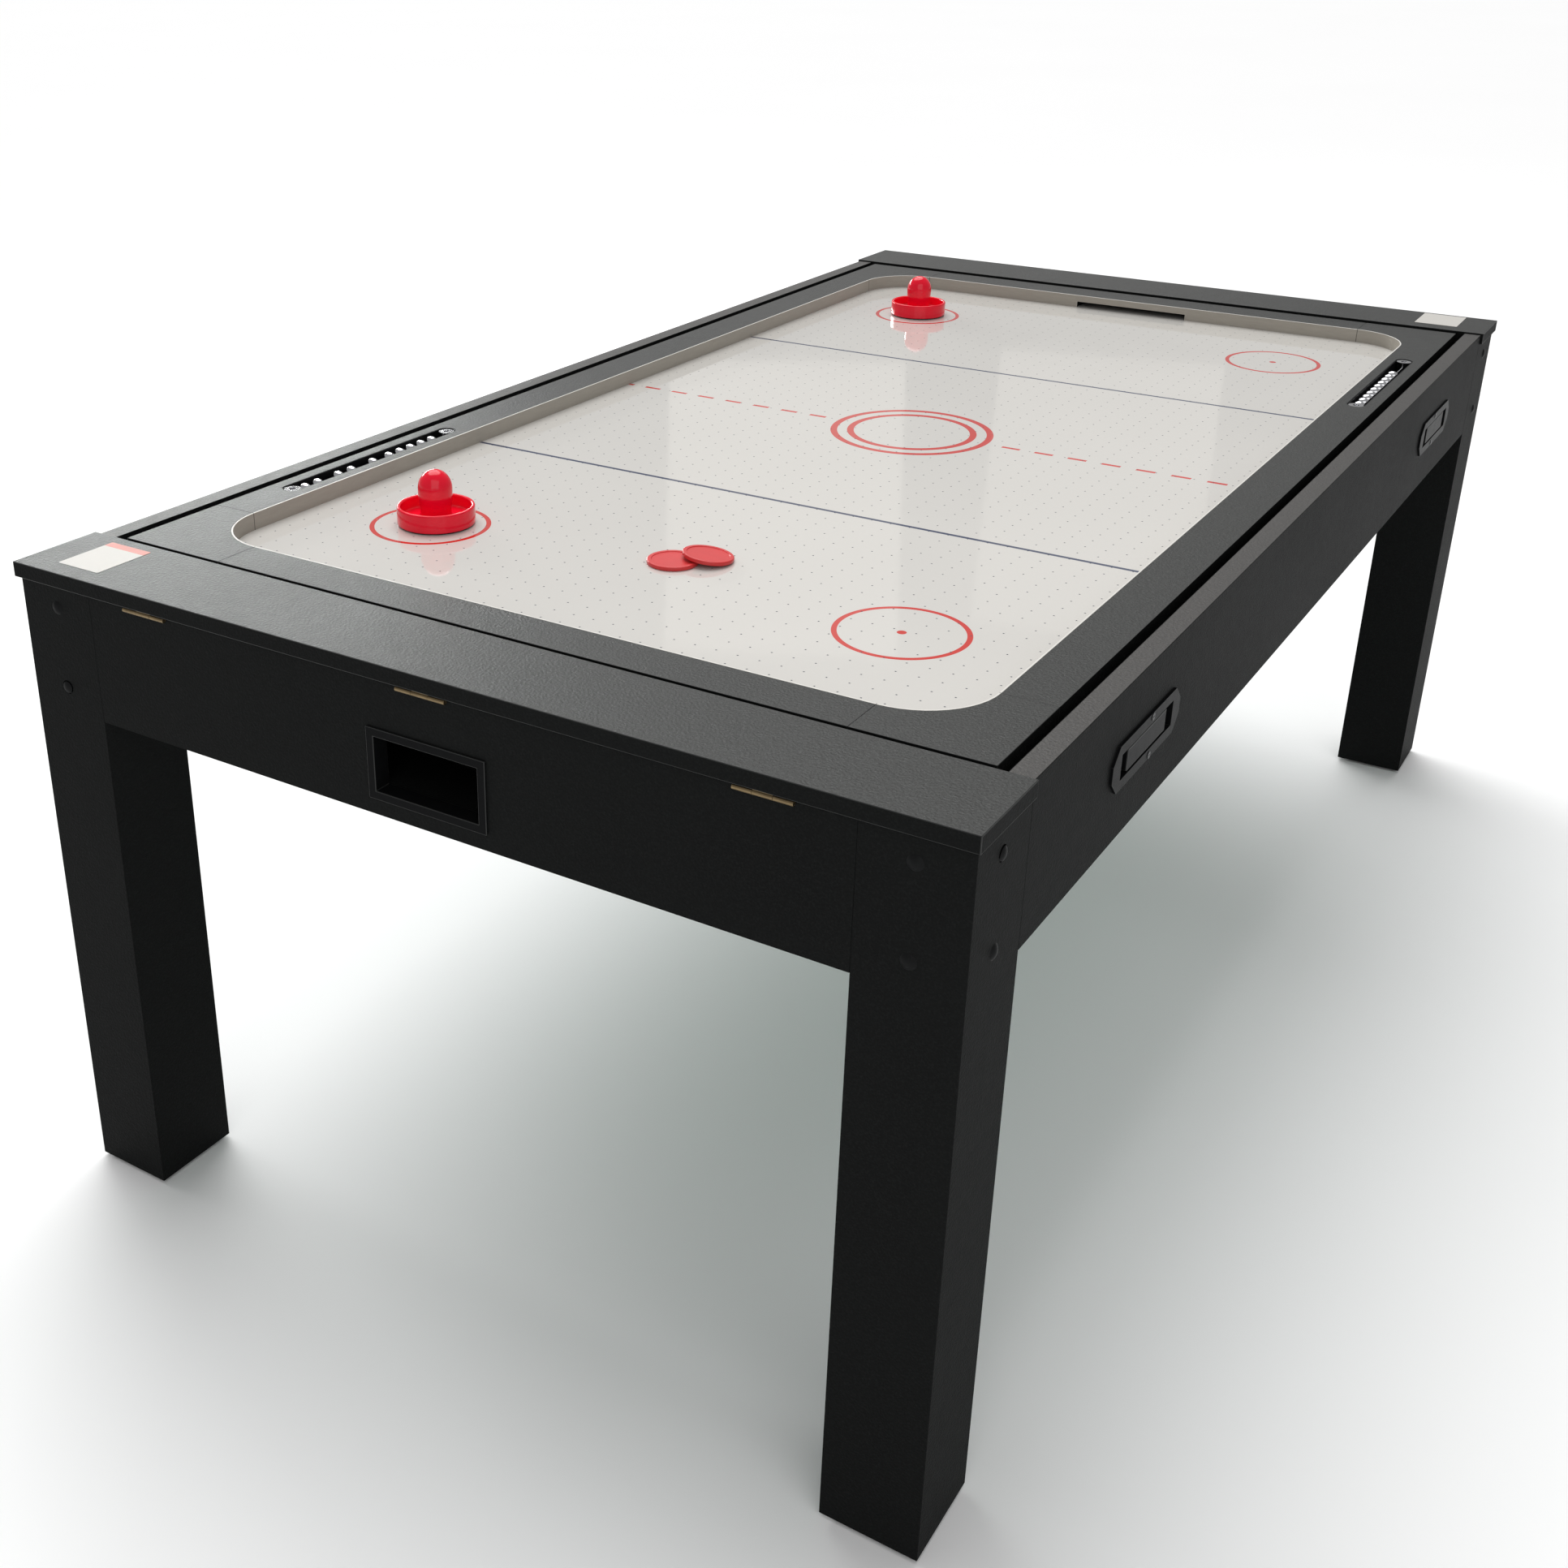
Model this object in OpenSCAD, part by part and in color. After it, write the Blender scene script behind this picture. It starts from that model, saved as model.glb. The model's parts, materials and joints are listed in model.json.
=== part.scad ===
// Air hockey table on four legs. The bed is a shallow box that turns over about its long axis:
// an air hockey playfield on one face and a small pool table on the other.
// X is the length (far end +X), Y the width (left side +Y), Z is up from the floor.

/* [Table] */
// Length over the two end flaps
table_l = 2164; // [1900:2:2400]
// Width over the flaps
table_w = 1144; // [1020:2:1260]
// Height from the floor to the table top
table_h = 805; // [760:1:850]
// Distance that the end flaps stand proud of the body at the ends
end_overhang = 6; // [5:0.5:10]
// Distance that the end flaps stand proud of the body at the sides
side_overhang = 4; // [1:0.5:8]

/* [Body] */
// Length of a leg's section, along the table
leg_l = 114; // [90:1:140]
// Width of a leg's section, across the table
leg_w = 107; // [90:1:140]
// Wall of the box legs
leg_t = 16; // [12:1:22]
// Height of the levelling feet under the legs
foot_h = 5; // [3:1:12]
// How far a levelling foot screws out
foot_travel = 12; // [5:1:14]
// Height of the bottom edge of the aprons
apron_z = 638; // [600:1:660]
// Thickness of the end aprons and bulkheads
board_t = 18; // [12:1:20]
// Thickness of the side panels
panel_t = 25; // [22:1:28]
// Length of an end flap, along the table
flap_l = 118.5; // [110:0.5:130]
// Thickness of an end flap
flap_t = 17.5; // [14:0.5:20]
// How much higher the flaps stand than the rails
flap_rise = 2.5; // [0:0.5:3]

/* [Bed] */
// Length of the turning bed
bed_l = 1908; // [1700:2:2100]
// Width of the turning bed
bed_w = 1062; // [960:2:1100]
// Thickness of the turning bed
bed_t = 166; // [160:1:180]
// Width of the rail tops
rail_w = 59; // [50:1:70]
// Depth of the hockey playfield below the rail tops
well_d = 21; // [19:0.5:24]
// Radius of the playfield's corners
corner_r = 84; // [60:1:100]
// Thickness of the strip that lines the rails
liner_t = 2; // [1:0.5:3]
// Thickness of the perforated playfield
playfield_t = 6; // [4:0.5:10]
// Width of the goal slots
goal_w = 196; // [160:2:240]
// Height of the goal slots
goal_h = 10; // [8:0.5:14]

/* [Pool side] */
// Height of the pool rails above the cloth
pool_rail_h = 38; // [34:1:42]
// Thickness of the pool slab
slab_t = 16; // [12:1:20]
// Width of a pool cushion
cushion_w = 42; // [35:1:50]
// Radius of a pocket
pocket_r = 42; // [38:1:46]

/* [Scorers] */
// Centre of a scorer from the middle of the table
scorer_x = 561; // [450:1:600]
// Length of a scorer tray
scorer_l = 328; // [300:1:340]
// Width of a scorer tray
scorer_w = 25; // [22:0.5:28]
// Radius of a bead
bead_r = 9.6; // [8:0.1:9.8]

/* [Latches] */
// Distance of a latch from the middle of the table
latch_x = 660; // [500:1:760]
// Length of a latch's face plate
latch_l = 196; // [180:1:220]
// Height of a latch's face plate
latch_h = 50; // [46:1:60]
// Length of the grip
grip_l = 112; // [90:1:120]
// Travel of a latch bolt
latch_travel = 16; // [12:0.5:16]

/* [Mallets and pucks] */
// Radius of a mallet
mallet_r = 47; // [40:0.5:52]
// Height of a mallet
mallet_h = 78; // [65:1:90]
// Radius of a puck
puck_r = 30; // [25:0.5:40]
// Thickness of a puck
puck_t = 5; // [4:0.5:7]

/* [Hidden] */
$fn = 48;

near = -1;
far = 1;
left = 1;
right = -1;
body_l = table_l - 2 * end_overhang;
body_w = table_w - 2 * side_overhang;
flap_top = table_h + flap_rise;
flap_z = flap_top - flap_t;            // underside of the flaps, and top of the legs
leg_x = body_l / 2 - leg_l;            // inner face of a leg, along the table
leg_y = body_w / 2 - leg_w;            // inner face of a leg, across the table
panel_y = body_w / 2 - panel_t;        // inner face of a side panel
bulkhead_x = leg_x + 2;
notch_gap = 6;                         // room round a puck where it passes a bulkhead
axis_z = table_h - bed_t / 2;          // the bed turns about this height
bed_z = table_h - bed_t;
cut = 1;                               // how far a cutter runs past a face
slip = 0.3;                            // gap between pieces that move past each other
fit = 0.05;                            // radial gap of a pin in its bore

// Hinges of the end flaps
hinge_l = 60;
hinge_ys = [-373, 0, 373];
leaf_t = 1.4;
leaf_w = 27;
leaf_seat = 3;
leaf_edge = 0.4;                       // the leaves stop this far inside the body's end
knuckle_r = 2.6;
knuckle_l = 20;
hinge_pin_r = 1.4;
hinge_x = body_l / 2 + knuckle_r + leaf_edge;
hinge_z = flap_z - knuckle_r - 1;
seat_z = flap_z - leaf_seat;

// Ends: puck return and pivot
window_l = 128;
window_h = 60;
window_z = 696;
bezel_rim = 9.5;
bezel_t = 2.5;
bezel_sleeve = 3;
pin_r = 12.5;
pin_bore_r = 5;
bush_r = 17;
bush_flange_r = 24;
bush_flange_t = 5;
tray_t = 6;
tray_low_z = 660;
tray_high_z = 700;

// Bed layers, from the hockey side down
field_z = table_h - well_d;            // top of the playfield
slab_z = bed_z + pool_rail_h + 1;      // lowest face of the slab, above its cloth
box_z = slab_z + slab_t;               // floor of the air box
ceiling_z = field_z - playfield_t;
side_board_t = 18;
inner_x = bed_l / 2 - rail_w;          // playfield edge at the end rails
inner_y = bed_w / 2 - rail_w;
box_x = bed_l / 2 - side_board_t;
box_y = bed_w / 2 - side_board_t;
rib_t = 15;
rib_xs = [-610, -290, 290, 610];
rib_ys = [-230, 230];

// Blower
blower_r = 88;
blower_wall = 3;
blower_h = 66;
impeller_r = 72;
impeller_h = 36;
impeller_gap = 1;
blade_n = 20;
blade_l = 14;
blade_t = 1.5;
ring_w = 16;
ring_t = 3;
hub_r = 8;
motor_r = 26;
motor_h = 22;
shaft_r = 3;
shaft_l = 12;                          // how far the shaft stands above the motor
lead_r = 3.5;

// Pool side
pocket_wall = 3;
pocket_depth = 95;
pocket_out = pocket_r + pocket_wall;
corner_pocket_gap = 4;                 // between a corner pocket and the bed's boards
side_pocket_gap = 2;
corner_pocket = [box_x, box_y] - (pocket_out + corner_pocket_gap) * [1, 1];
side_pocket_y = box_y - pocket_out - side_pocket_gap;
pockets = [for (x = [-1, 0, 1], y = [-1, 1])
  [x * corner_pocket[0], y * (x == 0 ? side_pocket_y : corner_pocket[1])]];
nose_h = 24;                           // from the cloth's underside to the nose line
nose_t = 4;
cushion_foot_w = 26;
side_mouth = 20;                       // a cushion ends this far from a side pocket
corner_mouth = 55;                     // and this far from a corner pocket's centre

// Scorers: places of the beads along each rod, from the middle of its tray
rod_r = 1.5;
rod_z = table_h - bead_r - 0.4;
tray_wall = 1.5;
washer_r = 10.5;
washer_x = scorer_l / 2 - scorer_w / 2;
beads_a = [-129, -106];
beads_b = [-68, -43];
beads_c = [-1];
beads_d = [for (i = [0:4]) 31 + 22 * i];
beads_r = [for (i = [0:9]) -129.5 + 23 * i];

// Latches
latch_z = axis_z;
plate_t = 3;
pocket_l = 150;
pocket_h = 28;
pocket_wall_t = 3;
grip_h = 24;
grip_t = 7;
bolt_r = 6;
bolt_tip = 4;                          // how far a drawn bolt still shows past the panel
strike_r = 13;
strike_depth = 14;

latch_screw_x = latch_x - 10;          // both screws of a plate, nearer the table's middle
latch_screw_up = 21;                   // and this far above and below its middle

// Mains inlet in the far apron, with a rocker switch beside its socket
inlet_at = [body_l / 2, -300, 712];
inlet_w = 48;
inlet_h = 28;
inlet_d = 28;
inlet_rim = 6;
inlet_rim_t = 2;
socket_y = -11;
socket_size = [inlet_d, 22, 18];
rocker_y = 13;
rocker_r = 9.5;
rocker_w = 14;
rocker_t = 10;
rocker_face = 2;                       // the middle of its thickness, out from its pin
rocker_x = -3;                         // the rocker turns about this line
rocker_pin_r = 1.5;
rocker_pin_end = 2;                    // how far its pin runs into the walls

// Caps over the bolts that join the legs to the aprons and panels
cap_zs = [668, 763];
side_cap_x = leg_x + leg_l / 2 + 3;

// Feet
foot_r = 14;
stud_r = 4;
stud_l = 40;
foot_at = [leg_l / 2, leg_w / 2];

// Play pieces, where they stand at rest
mallet_near_at = [-672, 308];
mallet_far_at = [684, 312];
puck_flat_at = [-633, -3];
puck_leaning_at = [-606, -33];
puck_lean = 7.5;
felt_t = 1.5;

black = [0.12, 0.13, 0.13];
black_plastic = [0.06, 0.06, 0.07];
brass = [0.72, 0.58, 0.32];
steel = [0.75, 0.76, 0.78];
liner_grey = [0.68, 0.65, 0.61];
board = [0.62, 0.5, 0.36];
red = [0.85, 0.06, 0.16];

module at_end(end) { if (end > 0) children(); else mirror([1, 0, 0]) children(); }
module at_side(side) { if (side > 0) children(); else mirror([0, 1, 0]) children(); }
module each_end() { for (end = [near, far]) at_end(end) children(); }
module each_side() { for (side = [left, right]) at_side(side) children(); }
module each_corner() { each_end() each_side() children(); }
module block(low, high) { translate(low) cube(high - low); }
module bar_x(r, x0, x1, y, z) { translate([x0, y, z]) rotate([0, 90, 0]) cylinder(r = r, h = x1 - x0); }
module bar_y(r, y0, y1, x, z) { translate([x, y0, z]) rotate([-90, 0, 0]) cylinder(r = r, h = y1 - y0); }
module stadium(l, w) {
  square([l - w, w], center = true);
  for (s = [-1, 1]) translate([s * (l - w) / 2, 0]) circle(d = w);
}

// Legs and levelling feet, each drawn at the far left corner

module leg(end, side) {
  color(black) at_end(end) at_side(side) translate([leg_x, leg_y, foot_h]) difference() {
    cube([leg_l, leg_w, flap_z - foot_h]);
    translate([leg_t, leg_t, stud_l + leg_t])
      cube([leg_l - 2 * leg_t, leg_w - 2 * leg_t, flap_z]);
    translate([foot_at[0], foot_at[1], -cut])
      cylinder(r = stud_r + slip, h = stud_l + leg_t + 2 * cut);
  }
}

module foot(end, side) {
  color(black_plastic) at_end(end) at_side(side)
    translate([leg_x + foot_at[0], leg_y + foot_at[1], 0]) {
      cylinder(r1 = foot_r - 1, r2 = foot_r, h = 1.5);
      translate([0, 0, 1.5]) cylinder(r = foot_r, h = foot_h - 2);
      cylinder(r = stud_r, h = foot_h + stud_l + leg_t - 2);
    }
}

// Frame boards

module end_apron(end) {
  color(black) at_end(end) difference() {
    block([body_l / 2 - board_t, -leg_y, apron_z], [body_l / 2, leg_y, flap_z]);
    translate([body_l / 2, 0, window_z])
      cube([3 * board_t, window_l + 2 * bezel_sleeve, window_h + 2 * bezel_sleeve], center = true);
    for (y = hinge_ys)
      translate([body_l / 2, y, seat_z + leaf_seat])
        cube([4 * board_t, hinge_l + 1, 2 * leaf_seat], center = true);
    if (end == far) inlet_cutout();
  }
}

module side_panel(side) {
  color(black) at_side(side) difference() {
    block([-leg_x, panel_y, apron_z], [leg_x, body_w / 2, table_h]);
    for (end = [near, far])
      translate([end * latch_x, panel_y + panel_t / 2, latch_z])
        cube([pocket_l + 2 * pocket_wall_t, 2 * panel_t, pocket_h + 2 * pocket_wall_t], center = true);
  }
}

module end_bulkheads() {
  color(board) each_end() difference() {
    block([bulkhead_x, -leg_y, apron_z], [bulkhead_x + board_t, leg_y, flap_z]);
    block([bulkhead_x - cut, -goal_w / 2 - notch_gap, field_z - notch_gap],
      [bulkhead_x + board_t + cut, goal_w / 2 + notch_gap, flap_z + cut]);
    bar_x(bush_r, bulkhead_x - cut, bulkhead_x + board_t + cut, 0, axis_z);
  }
}

module return_trays() {
  color(board) each_end()
    translate([bulkhead_x + board_t, 0, 0]) rotate([90, 0, 90])
      linear_extrude(body_l / 2 - board_t - bulkhead_x - board_t)
        polygon([[-leg_y, tray_high_z], [0, tray_low_z], [leg_y, tray_high_z],
          [leg_y, tray_high_z - tray_t], [0, tray_low_z - tray_t], [-leg_y, tray_high_z - tray_t]]);
}

module return_windows() {
  color(black_plastic) each_end() difference() {
    union() {
      translate([body_l / 2 + bezel_t / 2, 0, window_z])
        cube([bezel_t, window_l + 2 * bezel_rim, window_h + 2 * bezel_rim], center = true);
      translate([body_l / 2 - board_t / 2, 0, window_z])
        cube([board_t, window_l + 2 * bezel_sleeve, window_h + 2 * bezel_sleeve], center = true);
    }
    translate([body_l / 2, 0, window_z]) cube([3 * board_t, window_l, window_h], center = true);
  }
}

module bolt_caps() {
  cap_r = 8;
  cap_h = 3;
  dome_r = (cap_r * cap_r + cap_h * cap_h) / (2 * cap_h);
  module cap() {
    intersection() {
      cylinder(r = cap_r, h = cap_h);
      translate([0, 0, cap_h - dome_r]) sphere(r = dome_r);
    }
  }
  color(black_plastic) each_corner() {
    for (z = cap_zs) translate([body_l / 2, leg_y + leg_w / 2, z]) rotate([0, 90, 0]) cap();
    for (z = cap_zs) translate([side_cap_x, body_w / 2, z]) rotate([-90, 0, 0]) cap();
  }
}

// Flap hinges: the pin and the outer knuckles stay with the frame

module hinge_knuckle(y0, y1) {
  difference() {
    bar_y(knuckle_r, y0, y1, hinge_x, hinge_z);
    bar_y(hinge_pin_r + fit, y0 - cut, y1 + cut, hinge_x, hinge_z);
  }
}

module hinge_leaves_fixed() {
  gap = knuckle_l / 2 + slip;
  color(brass) each_end() for (y = hinge_ys) translate([0, y, 0]) {
    difference() {
      union() {
        block([body_l / 2 - leaf_w, -hinge_l / 2, seat_z],
          [body_l / 2 - leaf_edge, hinge_l / 2, seat_z + leaf_t]);
        each_side() block([body_l / 2 - 1, gap, seat_z], [hinge_x, hinge_l / 2, seat_z + leaf_t]);
        each_side() bar_y(knuckle_r, gap, hinge_l / 2, hinge_x, hinge_z);
      }
      bar_y(hinge_pin_r, -hinge_l, hinge_l, hinge_x, hinge_z);
    }
  }
}

module hinge_pins() {
  color(brass) each_end() for (y = hinge_ys)
    bar_y(hinge_pin_r, y - hinge_l / 2, y + hinge_l / 2, hinge_x, hinge_z);
}

module hinge_leaves_moving(end) {
  half = knuckle_l / 2;
  low = flap_z - leaf_t;
  color(brass) at_end(end) for (y = hinge_ys) translate([0, y, 0]) difference() {
    union() {
      block([body_l / 2 - leaf_w, -hinge_l / 2, low], [body_l / 2 - leaf_edge, hinge_l / 2, flap_z]);
      block([body_l / 2 - 1, -half, low], [hinge_x + 1, half, flap_z]);
      bar_y(knuckle_r, -half, half, hinge_x, hinge_z);
    }
    bar_y(hinge_pin_r + fit, -hinge_l, hinge_l, hinge_x, hinge_z);
  }
}

module flap(end) {
  color(black) at_end(end)
    block([table_l / 2 - flap_l + slip, -table_w / 2, flap_z], [table_l / 2, table_w / 2, flap_top]);
}

// Pivot at each end: a flanged bush in the bulkhead, and a hollow pin on the bed

module pivot_bushes() {
  color([0.7, 0.52, 0.28]) each_end() difference() {
    union() {
      bar_x(bush_r, bulkhead_x, bulkhead_x + board_t, 0, axis_z);
      bar_x(bush_flange_r, bulkhead_x + board_t, bulkhead_x + board_t + bush_flange_t, 0, axis_z);
    }
    bar_x(pin_r + fit, bulkhead_x - cut, bulkhead_x + 2 * board_t, 0, axis_z);
  }
}

module pivot_pins() {
  flange = 70;
  flange_t = 4;
  pin_proud = 5;
  pin_end = bulkhead_x + board_t + bush_flange_t + pin_proud;
  color(steel) each_end() difference() {
    union() {
      translate([bed_l / 2, -flange / 2, axis_z - flange / 2]) cube([flange_t, flange, flange]);
      bar_x(pin_r, bed_l / 2, pin_end, 0, axis_z);
    }
    bar_x(pin_bore_r, bed_l / 2 - cut, bulkhead_x + 2 * board_t, 0, axis_z);
  }
}

// Side latches: a face plate with a recess, and a grip with a bolt that slides in to lock the bed

module latch_outline() {
  chamfer = 16;
  intersection() {
    square([latch_l, latch_h], center = true);
    rotate(45) square((latch_l / 2 + latch_h / 2 - chamfer) * sqrt(2), center = true);
  }
}

module latch_plates() {
  color(black_plastic) each_corner() difference() {
    translate([latch_x, body_w / 2, latch_z]) union() {
      rotate([90, 0, 180]) linear_extrude(plate_t) latch_outline();
      translate([0, -panel_t / 2, 0])
        cube([pocket_l + 2 * pocket_wall_t, panel_t, pocket_h + 2 * pocket_wall_t], center = true);
    }
    translate([latch_x, body_w / 2 + panel_t / 2, latch_z])
      cube([pocket_l, 3 * panel_t - 2 * pocket_wall_t, pocket_h], center = true);
    bar_y(bolt_r + slip, panel_y - cut, panel_y + panel_t, latch_x, latch_z);
  }
}

module frame_screws() {
  head_r = 4;
  head_h = 0.6;
  slot_l = 5;
  color(steel) each_corner() for (s = [-1, 1])
    translate([latch_screw_x, body_w / 2 + plate_t, latch_z + s * latch_screw_up]) difference() {
      bar_y(head_r, 0, head_h, 0, 0);
      translate([0, head_h, 0]) cube([slot_l, head_h, 1], center = true);
    }
}

module latch(end, side) {
  face = body_w / 2 + plate_t - 0.5;
  color(black_plastic) at_end(end) at_side(side) union() {
    translate([latch_x, face - grip_t / 2, latch_z]) cube([grip_l, grip_t, grip_h], center = true);
    bar_y(bolt_r, panel_y - bolt_tip, face - 1, latch_x, latch_z);
  }
}

// Mains inlet and rocker switch in the far apron

module inlet_cutout() {
  translate(inlet_at) cube([4 * board_t, inlet_w, inlet_h], center = true);
}

module power_inlet() {
  pin_end = rocker_w / 2 + rocker_pin_end;
  color(black_plastic) translate(inlet_at) difference() {
    union() {
      translate([inlet_rim_t / 2, 0, 0])
        cube([inlet_rim_t, inlet_w + 2 * inlet_rim, inlet_h + inlet_rim], center = true);
      translate([-inlet_d / 2, 0, 0]) cube([inlet_d, inlet_w, inlet_h], center = true);
    }
    translate([0, socket_y, 0]) cube(socket_size, center = true);
    translate([0, rocker_y, 0]) cube([1.5 * inlet_d, rocker_w + 2, 2 * rocker_r + 3], center = true);
    bar_y(rocker_pin_r + fit, rocker_y - pin_end, rocker_y + pin_end, rocker_x, 0);
  }
}

module power_switch() {
  pin_end = rocker_w / 2 + rocker_pin_end - 0.2;
  color([0.7, 0.05, 0.05]) translate(inlet_at) {
    intersection() {
      bar_y(rocker_r, rocker_y - rocker_w / 2, rocker_y + rocker_w / 2, rocker_x, 0);
      translate([rocker_x + rocker_face, rocker_y, 0])
        cube([rocker_t, rocker_w, 2 * rocker_r - 1], center = true);
    }
    bar_y(rocker_pin_r, rocker_y - pin_end, rocker_y + pin_end, rocker_x, 0);
  }
}

// Bed: boards, rails and playfield

module bed_boards() {
  color(black) {
    each_side() difference() {
      block([-bed_l / 2, box_y, slab_z], [bed_l / 2, bed_w / 2, field_z]);
      for (end = [near, far]) bar_y(strike_r, bed_w / 2 - strike_depth, bed_w, end * latch_x, axis_z);
    }
    each_end() difference() {
      block([box_x, -box_y, slab_z], [bed_l / 2, box_y, field_z]);
      bar_x(pin_bore_r, box_x - cut, bed_l, 0, axis_z);
    }
  }
}

module latch_strikes() {
  color(steel) each_corner() difference() {
    bar_y(strike_r, bed_w / 2 - strike_depth, bed_w / 2, latch_x, axis_z);
    bar_y(bolt_r + 2 * slip, bed_w / 2 - strike_depth + 2, bed_w, latch_x, axis_z);
  }
}

module scorer_slot(z0, grow) {
  for (side = [left, right])
    translate([-side * scorer_x, side * (inner_y + rail_w / 2), z0])
      linear_extrude(3 * well_d) stadium(scorer_l + 2 * grow, scorer_w + 2 * grow);
}

module long_rails() {
  color(black) difference() {
    each_side() block([-inner_x + corner_r, inner_y + liner_t, field_z],
      [inner_x - corner_r, bed_w / 2, table_h]);
    scorer_slot(field_z - cut, 0);
  }
}

module end_rails() {
  color(black) each_end() difference() {
    block([inner_x + liner_t, -inner_y + corner_r, field_z], [bed_l / 2, inner_y - corner_r, table_h]);
    block([inner_x, -goal_w / 2, field_z - cut], [bed_l, goal_w / 2, field_z + goal_h]);
  }
}

module corner_rails() {
  x0 = inner_x - corner_r;
  y0 = inner_y - corner_r;
  color(black) each_corner() difference() {
    block([x0, y0, field_z], [bed_l / 2, bed_w / 2, table_h]);
    translate([x0, y0, field_z - cut]) cylinder(r = corner_r + liner_t, h = 2 * well_d, $fn = 96);
  }
}

// Pale strips that face the playfield, one to each rail and corner
module rail_liners() {
  x0 = inner_x - corner_r;
  y0 = inner_y - corner_r;
  color(liner_grey) {
    each_side() block([-x0, inner_y, field_z], [x0, inner_y + liner_t, table_h]);
    each_end() difference() {
      block([inner_x, -y0, field_z], [inner_x + liner_t, y0, table_h]);
      block([inner_x - cut, -goal_w / 2, field_z - cut],
        [inner_x + 2 * liner_t, goal_w / 2, field_z + goal_h]);
    }
    each_corner() intersection() {
      block([x0, y0, field_z], [bed_l / 2, bed_w / 2, table_h]);
      difference() {
        translate([x0, y0, field_z]) cylinder(r = corner_r + liner_t, h = well_d, $fn = 96);
        translate([x0, y0, field_z - cut]) cylinder(r = corner_r, h = 2 * well_d, $fn = 96);
      }
    }
  }
}

module playfield() {
  color([0.93, 0.92, 0.9]) block([-box_x, -box_y, ceiling_z], [box_x, box_y, field_z]);
}

module air_box_ribs() {
  color(board) difference() {
    union() {
      for (x = rib_xs) block([x - rib_t / 2, -box_y, box_z], [x + rib_t / 2, box_y, ceiling_z]);
      for (y = rib_ys) block([-box_x, y - rib_t / 2, box_z], [box_x, y + rib_t / 2, ceiling_z]);
    }
    bar_x(2 * lead_r, -bed_l, bed_l, 0, axis_z);
  }
}

// Blower in the middle of the air box

module blower_housing() {
  mouth_r = 50;
  outlet_l = 110;
  outlet_w = 50;
  color(black_plastic) translate([0, 0, box_z]) difference() {
    union() {
      cylinder(r = blower_r, h = blower_h, $fn = 72);
      translate([0, blower_r - outlet_w, 0]) cube([outlet_l, outlet_w, blower_h]);
    }
    translate([0, 0, blower_wall])
      cylinder(r = blower_r - blower_wall, h = blower_h - 2 * blower_wall, $fn = 72);
    translate([0, blower_r - outlet_w + blower_wall, blower_wall])
      cube([outlet_l + cut, outlet_w - 2 * blower_wall, blower_h - 2 * blower_wall]);
    translate([0, 0, blower_h / 2]) cylinder(r = mouth_r, h = blower_h);
  }
}

module blower_motor() {
  color(steel) translate([0, 0, box_z + blower_wall]) {
    cylinder(r = motor_r, h = motor_h);
    cylinder(r = shaft_r, h = motor_h + shaft_l);
  }
}

module blower_impeller() {
  plate_z = box_z + blower_wall + motor_h + impeller_gap;
  hub_h = shaft_l + 2;
  color([0.3, 0.31, 0.33]) translate([0, 0, plate_z]) difference() {
    union() {
      cylinder(r = impeller_r, h = 2, $fn = 72);
      cylinder(r = hub_r, h = hub_h);
      for (i = [0:blade_n - 1]) rotate(i * 360 / blade_n)
        translate([impeller_r - ring_w, -blade_t / 2, 0]) cube([blade_l, blade_t, impeller_h]);
      translate([0, 0, impeller_h - ring_t]) difference() {
        cylinder(r = impeller_r, h = ring_t, $fn = 72);
        translate([0, 0, -cut]) cylinder(r = impeller_r - ring_w, h = ring_t + 2 * cut, $fn = 72);
      }
    }
    translate([0, 0, -cut]) cylinder(r = shaft_r + fit, h = hub_h + 2 * cut);
  }
}

// Flexible lead from the motor housing to the hollow far pivot pin
module blower_lead() {
  color(black_plastic) bar_x(lead_r, blower_r, bulkhead_x + board_t + 6, 0, axis_z);
}

// Pool side, facing down at rest

module at_pockets(r, z0, z1) {
  for (p = pockets) translate([p[0], p[1], z0]) cylinder(r = r, h = z1 - z0);
}

module pool_slab() {
  color(board) difference() {
    block([-box_x, -box_y, slab_z], [box_x, box_y, box_z]);
    at_pockets(pocket_out, slab_z - cut, box_z + cut);
  }
}

module pool_cloth() {
  color([0.05, 0.3, 0.22]) difference() {
    block([-inner_x, -inner_y, slab_z - 1], [inner_x, inner_y, slab_z]);
    at_pockets(pocket_out, slab_z - 2, slab_z + cut);
  }
}

module pool_rails() {
  color(black) difference() {
    union() {
      each_side() block([-bed_l / 2, inner_y, bed_z], [bed_l / 2, bed_w / 2, slab_z]);
      each_end() block([inner_x, slip - inner_y, bed_z], [bed_l / 2, inner_y - slip, slab_z]);
    }
    at_pockets(pocket_out, bed_z - cut, slab_z + cut);
  }
}

// A cushion bar from a to b along X, its back on the rail at y = 0 and its nose towards -Y
module cushion_bar(a, b) {
  translate([a, 0, slab_z - 1]) rotate([90, 0, 90]) linear_extrude(b - a)
    polygon([[0, 0], [-cushion_foot_w, 0], [-cushion_w, -nose_h], [-cushion_w + 2, -nose_h - nose_t],
      [-nose_t, nose_t - pool_rail_h], [0, nose_t - pool_rail_h]]);
}

module pool_cushions() {
  side_end = pocket_out + side_mouth;
  long_end = corner_pocket[0] - corner_mouth;
  short_end = corner_pocket[1] - corner_mouth;
  color([0.05, 0.34, 0.25]) {
    each_corner() translate([0, inner_y, 0]) cushion_bar(side_end, long_end);
    each_end() translate([inner_x, 0, 0]) rotate(-90) cushion_bar(-short_end, short_end);
  }
}

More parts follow.
